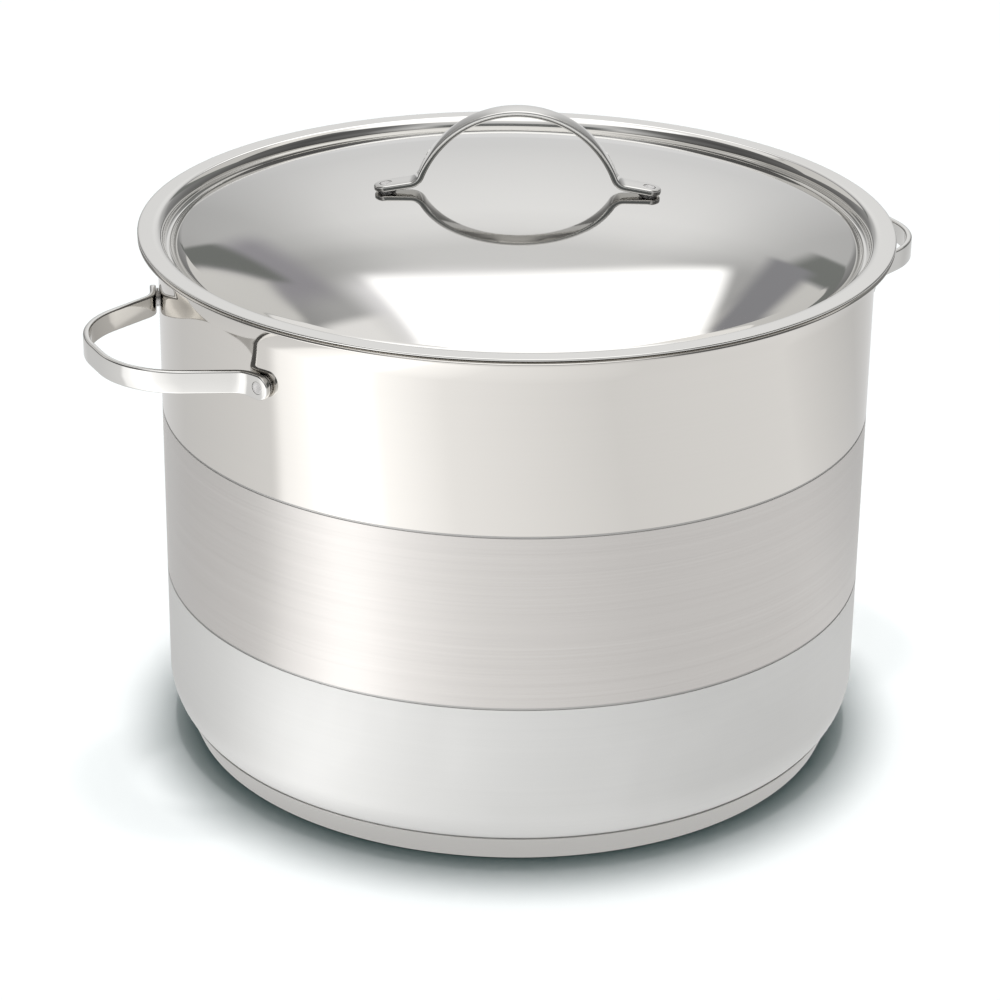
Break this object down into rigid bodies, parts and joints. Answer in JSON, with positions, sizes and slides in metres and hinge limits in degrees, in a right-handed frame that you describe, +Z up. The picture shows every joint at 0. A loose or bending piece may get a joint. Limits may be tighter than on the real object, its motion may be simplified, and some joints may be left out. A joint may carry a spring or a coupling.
{
  "type": "stock pot",
  "caption": "Round stainless steel stock pot with a capped heat-spreading base, strap side handles and a domed lift-off lid with an arched strap handle.",
  "frame": {"origin": "centre of the base's underside, on the table", "axes": "+Z up along the pot's axis, +X to the right handle, -X to the left handle"},
  "size_m": [0.406, 0.3394, 0.295],
  "materials": {
    "shell_steel": "mirror above the upper line, brushed between the lines, satin below",
    "lid_steel": "mirror polished",
    "handle_steel": "mirror polished",
    "rivet_steel": "satin",
    "base_steel": "satin, finely turned",
    "spreader_aluminium": "matt"
  },
  "bodies": {
    "pot": {"pot_shell": "shell_steel", "heat_spreader_disc": "spreader_aluminium", "base_cap": "base_steel", "left_handle": "handle_steel", "right_handle": "handle_steel", "left_handle_rivets": "rivet_steel", "right_handle_rivets": "rivet_steel"},
    "lid": {"lid_shell": "lid_steel", "lid_handle": "handle_steel", "lid_handle_rivets": "rivet_steel"}
  },
  "joints": [
    {"name": "lid_lift", "type": "slide", "parent": "pot", "child": "lid", "axis": [0, 0, 1], "range_m": [0, 0.25]}
  ]
}
